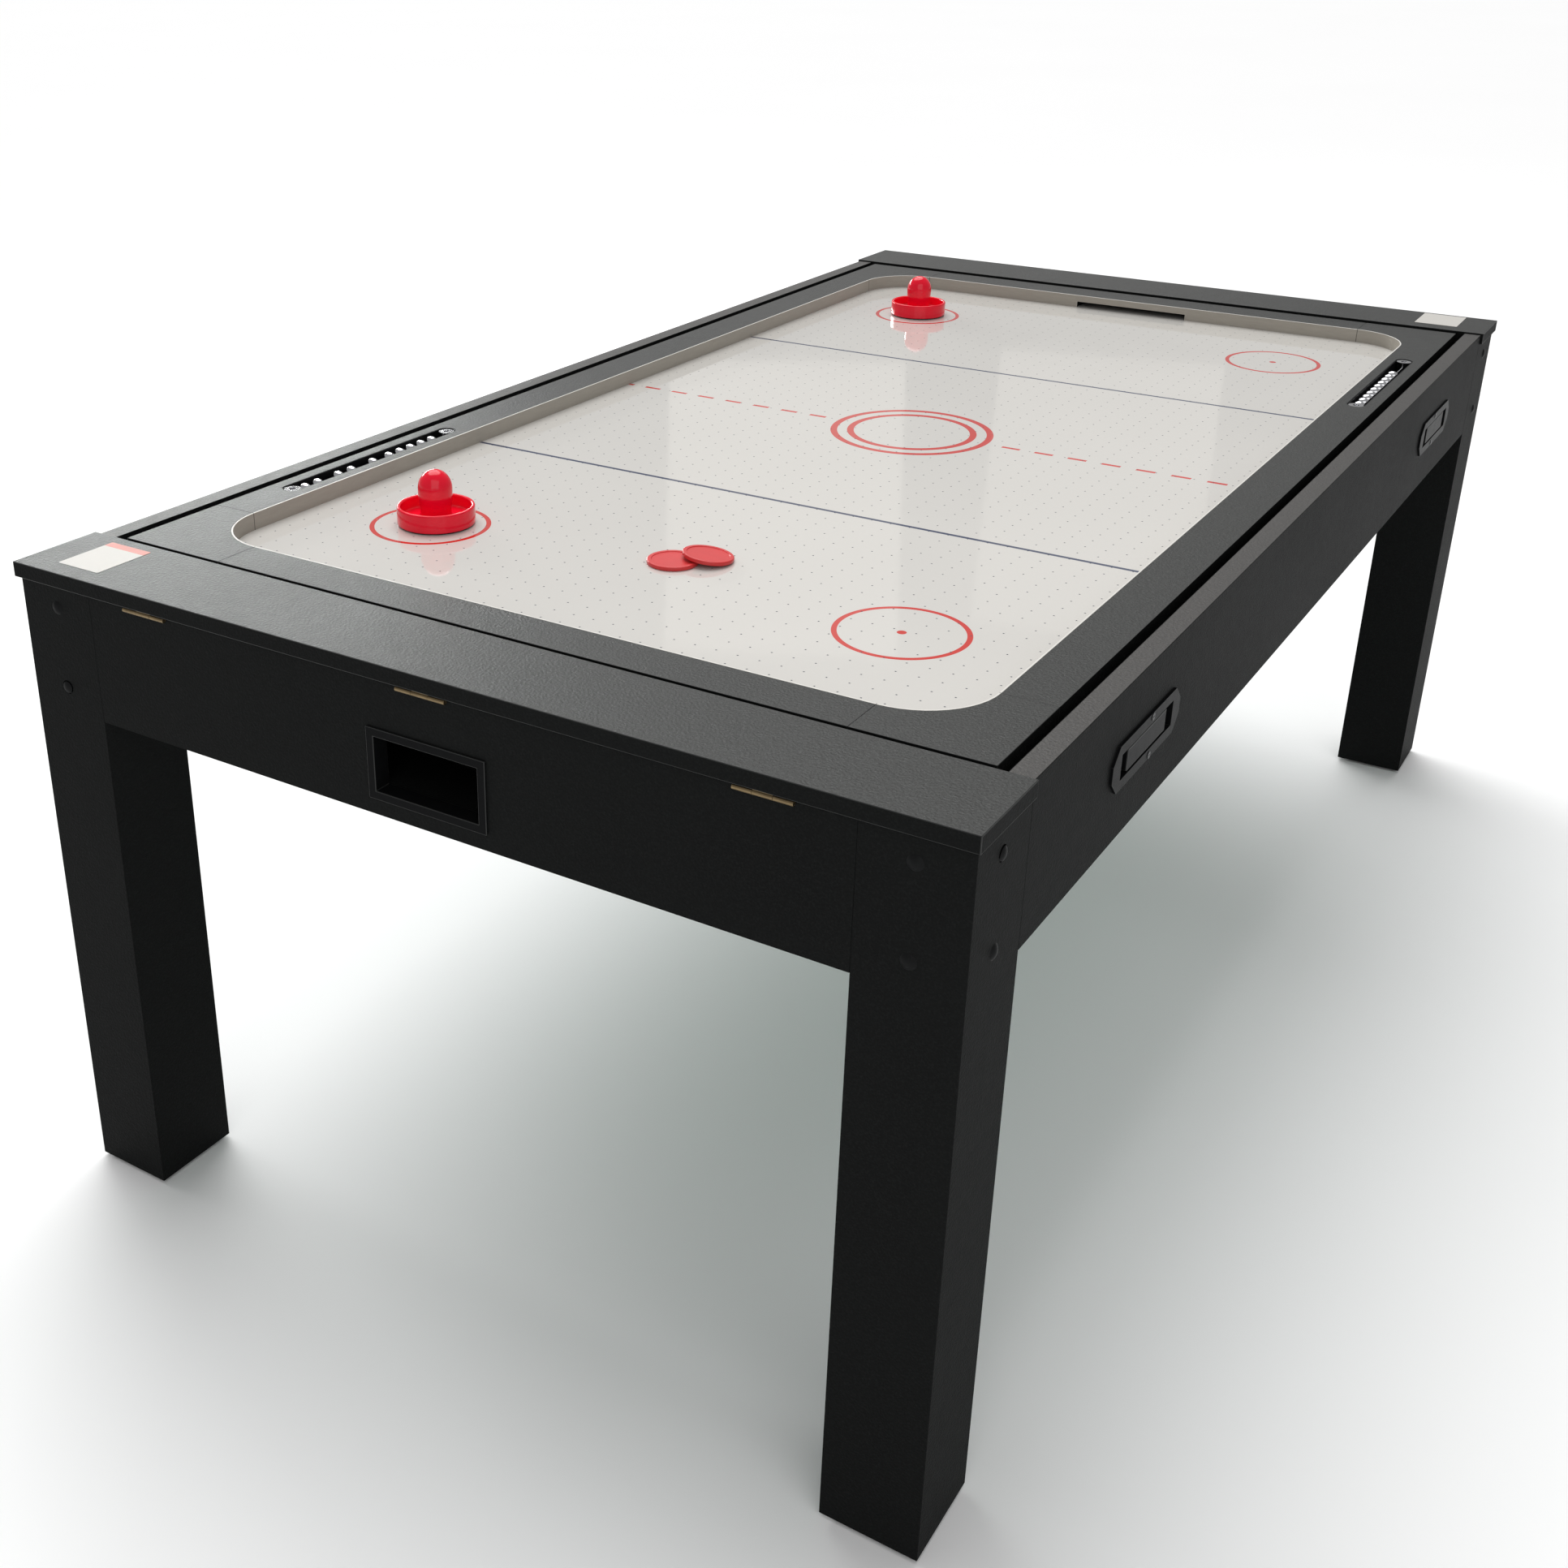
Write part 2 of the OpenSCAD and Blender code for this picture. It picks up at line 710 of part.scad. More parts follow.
module pool_pockets() {
  color(black_plastic) difference() {
    at_pockets(pocket_out, bed_z + 1, bed_z + pocket_depth);
    at_pockets(pocket_r, bed_z - cut, bed_z + pocket_depth - pocket_wall);
  }
}

// Abacus scorers let into the long rails

module scorer_trays() {
  color(black_plastic) difference() {
    intersection() {
      scorer_slot(field_z, 0);
      block([-bed_l, -bed_w, field_z], [bed_l, bed_w, table_h - 0.5]);
    }
    scorer_slot(field_z + 1, -tray_wall);
  }
}

module at_scorer(side) { translate([-side * scorer_x, side * (inner_y + rail_w / 2), rod_z]) children(); }

module scorer_rods() {
  half = scorer_l / 2 - tray_wall;
  floor_z = field_z + 1;
  color(steel) for (side = [left, right]) at_scorer(side) {
    difference() {
      union() {
        bar_x(rod_r, -half, half, 0, 0);
        for (end = [near, far]) translate([end * washer_x, 0, floor_z - rod_z])
          cylinder(r = washer_r, h = table_h - floor_z - 1);
      }
      for (end = [near, far]) translate([end * washer_x, 0, table_h - rod_z - 4])
        cylinder(r = washer_r / 2.5, h = 10);
    }
  }
}

module beads(side, xs) {
  bore_r = rod_r + 2 * fit;
  color([0.9, 0.9, 0.92]) at_scorer(side) for (x = xs) translate([x, 0, 0]) rotate([0, 90, 0])
    rotate_extrude($fn = 48) intersection() {
      circle(r = bead_r);
      translate([bore_r, -bead_r]) square([bead_r, 2 * bead_r]);
    }
}

// Play pieces

module mallet(at) {
  rim_h = 27;
  wall = 4.5;
  floor_t = 9;
  knob_r = 21.5;
  skirt = 5;
  translate([at[0], at[1], field_z]) {
    color([0.08, 0.08, 0.08]) cylinder(r = mallet_r - 1.5, h = felt_t, $fn = 96);
    color(red) rotate_extrude($fn = 96) {
      translate([0, felt_t]) square([mallet_r - wall, floor_t - felt_t]);
      translate([mallet_r - wall, felt_t]) square([wall, rim_h - felt_t - wall / 2]);
      translate([mallet_r - wall / 2, rim_h - wall / 2]) circle(d = wall);
      square([knob_r, mallet_h - knob_r]);
      intersection() {
        translate([0, mallet_h - knob_r]) circle(r = knob_r);
        translate([0, mallet_h - knob_r]) square(knob_r);
      }
      difference() {
        translate([0, floor_t]) square([knob_r + skirt, skirt]);
        translate([knob_r + skirt, floor_t + skirt]) circle(r = skirt);
      }
    }
  }
}

module puck_shape() {
  rim = 4.5;
  dish = 0.9;
  color(red) rotate_extrude($fn = 96) difference() {
    union() {
      square([puck_r - 1, puck_t]);
      translate([0, 1]) square([puck_r, puck_t - 2]);
      for (z = [1, puck_t - 1]) translate([puck_r - 1, z]) circle(r = 1, $fn = 24);
    }
    translate([-1, puck_t - dish]) square([puck_r - rim + 1, 2]);
    translate([-1, dish - 2]) square([puck_r - rim + 1, 2]);
  }
}

module puck_flat() {
  translate([puck_flat_at[0], puck_flat_at[1], field_z]) puck_shape();
}

// Lies with one edge on the playfield and the other on the flat puck
module puck_leaning() {
  away = puck_leaning_at - puck_flat_at;
  turn = atan2(away[1], away[0]);
  low_edge = puck_r * sin(puck_lean);
  translate([puck_leaning_at[0], puck_leaning_at[1], field_z + low_edge + 0.1])
    rotate([0, 0, turn]) rotate([0, puck_lean, 0]) puck_shape();
}

leg(near, left);  // leg_near_left
leg(near, right);  // leg_near_right
leg(far, left);  // leg_far_left
leg(far, right);  // leg_far_right
end_apron(near);  // end_apron_near
end_apron(far);  // end_apron_far
side_panel(left);  // side_panel_left
side_panel(right);  // side_panel_right
end_bulkheads();
return_trays();
return_windows();
latch_plates();
frame_screws();
bolt_caps();
hinge_leaves_fixed();
hinge_pins();
pivot_bushes();
power_inlet();
power_switch();
foot(near, left);  // foot_near_left
foot(near, right);  // foot_near_right
foot(far, left);  // foot_far_left
foot(far, right);  // foot_far_right
flap(near);  // flap_near
flap(far);  // flap_far
hinge_leaves_moving(near);  // hinge_leaves_near
hinge_leaves_moving(far);  // hinge_leaves_far
latch(near, left);  // latch_near_left
latch(near, right);  // latch_near_right
latch(far, left);  // latch_far_left
latch(far, right);  // latch_far_right
bed_boards();
long_rails();
end_rails();
corner_rails();
rail_liners();
playfield();
air_box_ribs();
blower_housing();
blower_impeller();
blower_motor();
blower_lead();
pool_slab();
pool_cloth();
pool_rails();
pool_cushions();
pool_pockets();
pivot_pins();
latch_strikes();
scorer_trays();
scorer_rods();
beads(left, beads_a);  // beads_left_a
beads(left, beads_b);  // beads_left_b
beads(left, beads_c);  // beads_left_c
beads(left, beads_d);  // beads_left_d
beads(right, beads_r);  // beads_right
mallet(mallet_near_at);  // mallet_near
mallet(mallet_far_at);  // mallet_far
puck_flat();
puck_leaning();
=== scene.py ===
import json
import math

import bpy
from mathutils import Matrix, Vector

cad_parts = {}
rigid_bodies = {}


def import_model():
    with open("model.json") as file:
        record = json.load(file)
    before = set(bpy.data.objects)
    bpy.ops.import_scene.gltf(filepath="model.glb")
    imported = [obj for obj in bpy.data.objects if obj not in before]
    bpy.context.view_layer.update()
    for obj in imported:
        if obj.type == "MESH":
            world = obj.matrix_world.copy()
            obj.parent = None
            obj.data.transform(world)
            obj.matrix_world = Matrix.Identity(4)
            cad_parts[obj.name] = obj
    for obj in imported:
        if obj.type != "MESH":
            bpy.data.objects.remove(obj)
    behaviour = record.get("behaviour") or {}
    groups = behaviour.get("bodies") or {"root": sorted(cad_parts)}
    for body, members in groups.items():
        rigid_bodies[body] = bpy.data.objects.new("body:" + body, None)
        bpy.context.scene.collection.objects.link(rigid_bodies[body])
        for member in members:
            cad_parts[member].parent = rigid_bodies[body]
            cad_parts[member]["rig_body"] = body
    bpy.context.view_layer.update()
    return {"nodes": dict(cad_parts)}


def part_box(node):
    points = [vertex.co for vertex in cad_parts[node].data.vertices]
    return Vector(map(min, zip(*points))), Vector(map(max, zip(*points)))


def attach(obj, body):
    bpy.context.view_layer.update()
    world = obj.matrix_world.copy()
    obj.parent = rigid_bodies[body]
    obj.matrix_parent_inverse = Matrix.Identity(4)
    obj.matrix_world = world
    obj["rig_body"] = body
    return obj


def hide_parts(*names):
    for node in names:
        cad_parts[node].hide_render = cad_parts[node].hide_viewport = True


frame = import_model()
nodes = frame["nodes"]
mm = 0.001


def feed(tree, socket, given):
    if isinstance(given, Wire):
        tree.links.new(given.socket, socket)
    elif given is not None:
        socket.default_value = given


def sumNode(tree, operation, *given):
    made = tree.nodes.new("ShaderNodeMath")
    made.operation = operation
    for socket, value in zip(made.inputs, given):
        feed(tree, socket, value)
    return Wire(tree, made.outputs[0])


class Wire:
    def __init__(self, tree, socket):
        self.tree = tree
        self.socket = socket

    def __add__(self, other):
        return sumNode(self.tree, "ADD", self, other)

    def __sub__(self, other):
        return sumNode(self.tree, "SUBTRACT", self, other)

    def __rsub__(self, other):
        return sumNode(self.tree, "SUBTRACT", other, self)

    def __mul__(self, other):
        return sumNode(self.tree, "MULTIPLY", self, other)

    def __truediv__(self, other):
        return sumNode(self.tree, "DIVIDE", self, other)

    def __rtruediv__(self, other):
        return sumNode(self.tree, "DIVIDE", other, self)

    def __mod__(self, other):
        return sumNode(self.tree, "FLOORED_MODULO", self, other)

    def __pow__(self, other):
        return sumNode(self.tree, "POWER", self, other)

    def __abs__(self):
        return sumNode(self.tree, "ABSOLUTE", self)

    __radd__ = __add__
    __rmul__ = __mul__

    def least(self, other):
        return sumNode(self.tree, "MINIMUM", self, other)

    def most(self, other):
        return sumNode(self.tree, "MAXIMUM", self, other)

    def clamped(self):
        return self.most(0.0).least(1.0)


class Finish:
    def __init__(self, name):
        self.material = bpy.data.materials.new(name)
        self.material.use_nodes = True
        self.tree = self.material.node_tree
        self.shader = self.tree.nodes["Principled BSDF"]
        self.place = Wire(self.tree, self.node("TexCoord").outputs["Object"])

    def node(self, kind, settings=None, sockets=None):
        made = self.tree.nodes.new("ShaderNode" + kind)
        for key, value in (settings or {}).items():
            setattr(made, key, value)
        for key, value in (sockets or {}).items():
            socket = next(s for s in made.inputs if key in (s.identifier, s.name))
            feed(self.tree, socket, value)
        return made

    def wire(self, made, output=0):
        return Wire(self.tree, made.outputs[output])

    def noise(self, scale, detail=2.0, roughness=0.5, stretch=(1, 1, 1)):
        mapped = self.node("Mapping", sockets={"Vector": self.place, "Scale": stretch})
        settings = {"Vector": self.wire(mapped), "Scale": scale, "Detail": detail, "Roughness": roughness}
        return self.wire(self.node("TexNoise", sockets=settings))

    def cells(self, scale, feature="F1"):
        sockets = {"Vector": self.place, "Scale": scale}
        return self.wire(self.node("TexVoronoi", {"feature": feature}, sockets))

    def split(self):
        made = self.node("SeparateXYZ", sockets={"Vector": self.place})
        return [Wire(self.tree, s) for s in made.outputs]

    def mixed(self, factor, first, second):
        first, second = [c if isinstance(c, Wire) else (*c, 1) for c in (first, second)]
        sockets = {"Factor_Float": factor, "A_Color": first, "B_Color": second}
        return self.wire(self.node("Mix", {"data_type": "RGBA"}, sockets), 2)

    def bump(self, height, distance, strength):
        sockets = {"Height": height, "Distance": distance, "Strength": strength}
        return self.wire(self.node("Bump", sockets=sockets))

    def shine(self, level):
        self.shader.inputs["Specular IOR Level"].default_value = level

    def surface(self, **sockets):
        for key, value in sockets.items():
            name = "".join(" " + c if c.isupper() else c for c in key)
            name = name[0].upper() + name[1:]
            if isinstance(value, tuple):
                value = (*value, 1)
            feed(self.tree, self.shader.inputs[name], value)
        return self.material


def within(distance, half, soft):
    return ((half - distance) / soft + 0.5).clamped()


def laminate(name, dark, grain, rough, shine):
    f = Finish(name)
    pores = f.noise(430, 3.0, 0.7)
    pebbles = f.cells(360, "SMOOTH_F1")
    cloud = f.noise(5, 3.0)
    dust = f.noise(60, 4.0, 0.7)
    height = pores * 0.6 + pebbles * 0.5
    tint = f.mixed(cloud, dark, tuple(c * 1.35 for c in dark))
    f.shine(shine)
    return f.surface(
        baseColor=f.mixed(((pores - 0.47) * 5.0).clamped(), tint, grain),
        roughness=rough + (dust - 0.5) * 0.1 + (cloud - 0.5) * 0.06,
        normal=f.bump(height, 0.0009, 0.7))


def laminateEdgeHighlight():
    f = Finish("laminate edge highlight")
    # lighter than the side laminate so eased edges read as thin bright lines: a painted highlight, varied
    # at random like wear
    f.shine(0.25)
    wearAndHighlight = f.noise(35, 4.0, 0.7)
    return f.surface(
        baseColor=f.mixed(wearAndHighlight, (0.010, 0.011, 0.0105), (0.026, 0.027, 0.026)),
        roughness=0.30 + wearAndHighlight * 0.12,
        normal=f.bump(f.noise(700), 0.0001, 0.3))


def mouldedPlastic(name, colour, rough):
    f = Finish(name)
    grain = f.noise(1800, 2.0, 0.6)
    scuff = f.noise(90, 5.0, 0.7)
    f.shine(0.03)
    return f.surface(
        baseColor=f.mixed(scuff, colour, tuple(c * 1.6 + 0.002 for c in colour)),
        roughness=rough + (scuff - 0.5) * 0.14,
        normal=f.bump(grain, 0.00008, 0.6))


def glossyRed(name, colour, rough):
    f = Finish(name)
    cloud = f.noise(40, 3.0)
    haze = f.noise(400, 4.0, 0.7)
    ripple = f.noise(55, 1.0)
    f.shine(0.3)
    return f.surface(
        baseColor=f.mixed(cloud, colour, tuple(c * 0.82 for c in colour)),
        roughness=rough + (haze - 0.5) * 0.08,
        coatWeight=0.08 + cloud * 0.1,
        coatRoughness=0.06,
        normal=f.bump(ripple, 0.0004, 0.25))


def metal(name, colour, rough, brushing=(1, 1, 1), stain=0.2):
    f = Finish(name)
    lines = f.noise(700, 3.0, 0.6, brushing)
    tarnish = f.noise(60, 4.0, 0.65)
    dull = tuple(c * (1 - stain) for c in colour)
    return f.surface(
        baseColor=f.mixed(tarnish, colour, dull),
        metallic=1.0,
        roughness=rough + (lines - 0.5) * 0.16 + (tarnish - 0.5) * 0.12,
        normal=f.bump(lines, 0.00005, 0.4))


def rawBoard():
    f = Finish("raw board")
    chips = f.cells(220)
    fine = f.noise(500, 4.0, 0.7)
    shade = f.mixed(chips, (0.32, 0.22, 0.13), (0.60, 0.47, 0.31))
    return f.surface(
        baseColor=f.mixed(fine, shade, (0.42, 0.31, 0.19)),
        roughness=0.82 + (fine - 0.5) * 0.2,
        normal=f.bump(fine + chips * 0.5, 0.0004, 0.5))


threadPitch = 0.0011


def cloth(name, colour):
    f = Finish(name)
    x, y, z = f.split()
    weave = abs((x + z) % threadPitch - threadPitch / 2) + abs(y % threadPitch - threadPitch / 2)
    nap = f.noise(900, 4.0, 0.75)
    drift = f.noise(9, 3.0)
    deep = tuple(c * 0.62 for c in colour)
    pale = tuple(c * 1.3 for c in colour)
    return f.surface(
        baseColor=f.mixed(nap * 0.7 + drift * 0.3, deep, pale),
        roughness=0.88 + (nap - 0.5) * 0.15,
        sheenWeight=0.25,
        sheenRoughness=0.5,
        normal=f.bump(nap + weave * 600, 0.0003, 0.6))


def felt():
    f = Finish("mallet felt")
    nap = f.noise(1400, 4.0, 0.8)
    return f.surface(
        baseColor=f.mixed(nap, (0.008, 0.006, 0.006), (0.035, 0.028, 0.028)),
        roughness=0.9 + (nap - 0.5) * 0.1,
        normal=f.bump(nap, 0.0004, 0.8))


linerSeam = {"x": 0.811, "y": 0.388, "width": 0.0011, "soft": 0.0004, "shade": (0.03, 0.028, 0.025)}


def linerStrip(name, deep, pale):
    f = Finish(name)
    x, y = f.split()[:2]
    grain = f.noise(260, 3.0, 0.6, (0.15, 0.15, 1))
    speck = f.noise(1300, 2.0)
    toSeam = abs(abs(x) - linerSeam["x"]).least(abs(abs(y) - linerSeam["y"]))
    seam = within(toSeam, linerSeam["width"] / 2, linerSeam["soft"])
    return f.surface(
        baseColor=f.mixed(seam * 0.8, f.mixed(grain, deep, pale), linerSeam["shade"]),
        roughness=0.42 + (speck - 0.5) * 0.2,
        normal=f.bump(speck, 0.0001, 0.4))


playPrint = {
    "faceOff": (0.680, 0.311), "faceOffRadius": 0.0698, "faceOffLine": 0.0060, "dot": 0.0052,
    "centreRadii": (0.1084, 0.0852), "centreLine": 0.0094,
    "blueLine": 0.372, "blueWidth": 0.0058,
    "dashPitch": 0.047, "dashLength": 0.026, "dashWidth": 0.0068, "dashClear": 0.1245,
    "red": (0.60, 0.032, 0.022), "blue": (0.030, 0.045, 0.105), "white": (0.665, 0.645, 0.61),
    "speck": (0.57, 0.555, 0.53), "soft": 0.0005,
}
airHoles = {
    "pitch": 0.025, "columns": 71, "rows": 37, "radius": 0.0007, "depth": 0.0009,
    "corner": 0.58, "taper": 0.62, "shadow": 0.0011, "soft": 0.0006, "shade": (0.10, 0.12, 0.15),
}


def playfieldFinish():
    f = Finish("playfield laminate")
    p, h = playPrint, airHoles
    x, y = f.split()[:2]
    soft = p["soft"]
    across = abs(x)
    side = abs(y)
    fromCentre = (x * x + y * y) ** 0.5
    fx = across - p["faceOff"][0]
    fy = side - p["faceOff"][1]
    fromSpot = (fx * fx + fy * fy) ** 0.5
    ring = within(abs(fromSpot - p["faceOffRadius"]), p["faceOffLine"] / 2, soft)
    spot = within(fromSpot, p["dot"], soft)
    circles = [within(abs(fromCentre - r), p["centreLine"] / 2, soft) for r in p["centreRadii"]]
    step = (side - p["dashClear"]) % p["dashPitch"]
    dash = within(abs(step - p["dashPitch"] / 2), p["dashLength"] / 2, soft)
    dash = dash * within(across, p["dashWidth"] / 2, soft) * within(p["dashClear"] - side, 0.0, soft)
    redMask = ring.most(spot).most(circles[0]).most(circles[1]).most(dash)
    blueMask = within(abs(across - p["blueLine"]), p["blueWidth"] / 2, soft)
    cellX, cellY = [abs((w + h["pitch"] / 2) % h["pitch"] - h["pitch"] / 2) for w in (x, y)]
    toHole = (cellX * cellX + cellY * cellY) ** 0.5
    # dark discs round the drilled air holes: painted shade in the holes
    holeShade = within(toHole, h["shadow"], h["soft"])
    tone = f.noise(3, 3.0)
    speck = f.noise(900, 2.0)
    smear = f.noise(14, 5.0, 0.7)
    base = f.mixed(tone, p["white"], tuple(c * 0.95 for c in p["white"]))
    base = f.mixed((speck - 0.45).most(0.0) * 0.4, base, p["speck"])
    base = f.mixed(blueMask, base, p["blue"])
    base = f.mixed(redMask, base, p["red"])
    base = f.mixed(holeShade * 0.82, base, h["shade"])
    return f.surface(
        baseColor=base,
        roughness=0.05 + (smear - 0.45).most(0.0) * 0.18 + holeShade * 0.4,
        coatWeight=0.25 + tone * 0.2,
        coatRoughness=0.03,
        normal=f.bump(f.noise(38, 2.0), 0.00022, 0.30))


def paper(name, headAt):
    f = Finish(name)
    x = f.split()[0]
    fibre = f.noise(900, 3.0, 0.7)
    wear = f.noise(120, 4.0, 0.7)
    head = within(abs(x - headAt), labelPaper["head"], 0.0004)
    base = f.mixed(fibre, (0.50, 0.48, 0.45), (0.58, 0.56, 0.52))
    return f.surface(
        baseColor=f.mixed(head * (0.75 + wear * 0.2), base, labelPaper["red"]),
        roughness=0.5 + (fibre - 0.5) * 0.2,
        normal=f.bump(fibre, 0.00005, 0.5))


finish = {
    # top and side laminate are one board material: the lighter top copy is painted sheen, the darker side
    # copy painted shade
    "laminate": laminate("lit top laminate", (0.0088, 0.0094, 0.0082), (0.030, 0.033, 0.030), 0.42, 0.34),
    "side": laminate("shaded side laminate", (0.0062, 0.0066, 0.0065), (0.0105, 0.0112, 0.0110), 0.56, 0.03),
    # the side panels' level faces get a still lighter, glossier laminate copy: painted sheen
    "strip": laminate("panel top", (0.022, 0.020, 0.018), (0.055, 0.050, 0.045), 0.46, 0.45),
    # eased board edges get the lighter edge copy, a painted highlight
    "edge": laminateEdgeHighlight(),
    "plastic": mouldedPlastic("black plastic", (0.0030, 0.0032, 0.0035), 0.36),
    "cap": mouldedPlastic("bolt cap plastic", (0.0075, 0.0078, 0.0080), 0.34),
    "foot": mouldedPlastic("foot plastic", (0.010, 0.010, 0.010), 0.55),
    "mallet": glossyRed("mallet red", (0.93, 0.003, 0.028), 0.15),
    "puck": glossyRed("puck red", (0.70, 0.040, 0.042), 0.36),
    "switch": glossyRed("switch red", (0.45, 0.01, 0.01), 0.2),
    "felt": felt(),
    "liner": linerStrip("rail liner", (0.32, 0.292, 0.252), (0.39, 0.361, 0.315)),
    # a pale copy of the liner for its level faces and lip: painted highlight
    "linerTop": linerStrip("rail liner top lit", (0.62, 0.60, 0.56), (0.70, 0.68, 0.64)),
    "playfield": playfieldFinish(),
    "brass": metal("dull brass", (0.30, 0.22, 0.12), 0.42, (1, 0.1, 1), 0.5),
    "bronze": metal("bush bronze", (0.56, 0.38, 0.20), 0.34),
    "steel": metal("zinc plate", (0.58, 0.58, 0.59), 0.34, (0.1, 1, 1)),
    "screw": metal("blackened screws", (0.05, 0.05, 0.052), 0.40),
    "chrome": metal("bead chrome", (0.70, 0.70, 0.72), 0.12, stain=0.10),
    "board": rawBoard(),
    "cloth": cloth("pool cloth", (0.012, 0.125, 0.075)),
    "cushion": cloth("cushion cloth", (0.013, 0.14, 0.085)),
    "lead": mouldedPlastic("lead rubber", (0.012, 0.012, 0.012), 0.6),
}
print("finishes made", len(finish))


def clearSelection():
    if bpy.context.object and bpy.context.object.mode != "OBJECT":
        bpy.ops.object.mode_set(mode="OBJECT")
    bpy.ops.object.select_all(action="DESELECT")


def focus(piece):
    clearSelection()
    piece.select_set(True)
    bpy.context.view_layer.objects.active = piece


def keep(piece, name, body, material, replaced=()):
    piece.name = name
    if material is not None:
        piece.data.materials.clear()
        piece.data.materials.append(material)
    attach(piece, body)
    if replaced:
        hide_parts(*replaced)
    return piece


def bodyOf(node):
    return nodes[node]["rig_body"]


easedAngle = math.radians(35)  # edges sharper than this are rounded


def eased(piece, width, segments):
    rounding = piece.modifiers.new("rounding", "BEVEL")
    rounding.width = width
    rounding.segments = segments
    rounding.limit_method = "ANGLE"
    rounding.angle_limit = easedAngle
    rounding.material = len(piece.data.materials) - 1
    focus(piece)
    bpy.ops.object.modifier_apply(modifier=rounding.name)


def smoothed(piece, angle=50):
    # large flat faces keep their own normals, so only the eased edges look round
    focus(piece)
    bpy.ops.object.shade_smooth_by_angle(angle=math.radians(angle))
    evened = piece.modifiers.new("evened", "WEIGHTED_NORMAL")
    evened.keep_sharp = True
    bpy.ops.object.modifier_apply(modifier=evened.name)


levelFace = 0.9  # a face whose normal is this upright counts as level
mergeSpan = 0.00002
flatAngle = math.radians(0.6)


def dressed(node, material, edge=None, width=0.0, segments=2, top=None):
    # the CAD board with its triangles merged and its edges eased
    piece = bpy.data.objects.new(node + "_piece", nodes[node].data.copy())
    bpy.context.scene.collection.objects.link(piece)
    piece.data.materials.clear()
    for given in (material, top, edge):
        if given is not None:
            piece.data.materials.append(given)
    # level faces take the top finish; on the boards that is the lighter laminate copy, a painted sheen
    for face in piece.data.polygons:
        face.material_index = int(top is not None and abs(face.normal.z) > levelFace)
    focus(piece)
    bpy.ops.object.mode_set(mode="EDIT")
    bpy.ops.mesh.select_all(action="SELECT")
    bpy.ops.mesh.remove_doubles(threshold=mergeSpan)
    bpy.ops.mesh.dissolve_limited(angle_limit=flatAngle)
    bpy.ops.object.mode_set(mode="OBJECT")
    if width:
        eased(piece, width, segments)
    smoothed(piece)
    return keep(piece, node + "_piece", bodyOf(node), None, [node])


def arc(cx, cz, radius, start, end, steps):
    turn = [math.radians(start + (end - start) * i / steps) for i in range(steps + 1)]
    return [(cx + radius * math.cos(a), cz + radius * math.sin(a)) for a in turn]


weldSpan = 0.00001


def turned(outline, steps):
    # a vertex drawn out along the outline, then spun about Z at the origin
    clearSelection()
    bpy.ops.mesh.primitive_plane_add(size=0.001)
    piece = bpy.context.object
    bpy.ops.object.mode_set(mode="EDIT")
    bpy.ops.mesh.select_mode(type="VERT")
    bpy.ops.mesh.select_all(action="SELECT")
    bpy.ops.mesh.merge(type="CENTER")
    bpy.ops.transform.translate(value=(outline[0][0], 0, outline[0][1]))
    for (x0, z0), (x1, z1) in zip(outline, outline[1:]):
        bpy.ops.mesh.extrude_vertices_move(TRANSFORM_OT_translate={"value": (x1 - x0, 0, z1 - z0)})
    bpy.ops.mesh.select_all(action="SELECT")
    bpy.ops.mesh.spin(steps=steps, angle=math.tau, center=(0, 0, 0), axis=(0, 0, 1))
    bpy.ops.mesh.select_all(action="SELECT")
    bpy.ops.mesh.remove_doubles(threshold=weldSpan)
    bpy.ops.mesh.normals_make_consistent(inside=False)
    bpy.ops.object.mode_set(mode="OBJECT")
    return piece


def settled(piece, matrix):
    piece.data.transform(matrix)
    piece.data.update()
    return piece


def centreOf(node):
    low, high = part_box(node)
    return (low + high) / 2


def footOf(node):
    low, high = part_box(node)
    return Vector(((low.x + high.x) / 2, (low.y + high.y) / 2, low.z))


boardEdge = {"flap": 0.0009, "frame": 0.0007, "rail": 0.0006, "inside": 0.0004, "liner": 0.0002}


def boards():
    # tops get the lighter laminate copy (painted sheen), other faces the darker copy (painted shade)
    side, edge, top = finish["side"], finish["edge"], finish["laminate"]
    for node in [n for n in nodes if n.startswith("flap_")]:
        dressed(node, side, edge, boardEdge["flap"], 3, top)
    for node in [n for n in nodes if n.startswith(("leg_", "end_apron_"))]:
        dressed(node, side, side, boardEdge["frame"], 2, top)
    for node in [n for n in nodes if n.startswith("side_panel_")]:
        # the level faces of the side panels take the lighter strip finish, a painted sheen
        dressed(node, side, side, boardEdge["frame"], 2, finish["strip"])
    for node in ("long_rails", "end_rails", "corner_rails", "pool_rails"):
        dressed(node, side, edge, boardEdge["rail"], 2, top)
    dressed("bed_boards", side, edge, boardEdge["inside"])
    # liner level faces and eased edges take the pale copy, a painted highlight
    lip = finish["linerTop"]
    dressed("rail_liners", finish["liner"], lip, boardEdge["liner"], 1, lip)
    for node in ("end_bulkheads", "return_trays"):
        dressed(node, side, side, boardEdge["inside"])
    dressed("pool_slab", finish["board"], finish["board"], boardEdge["inside"])


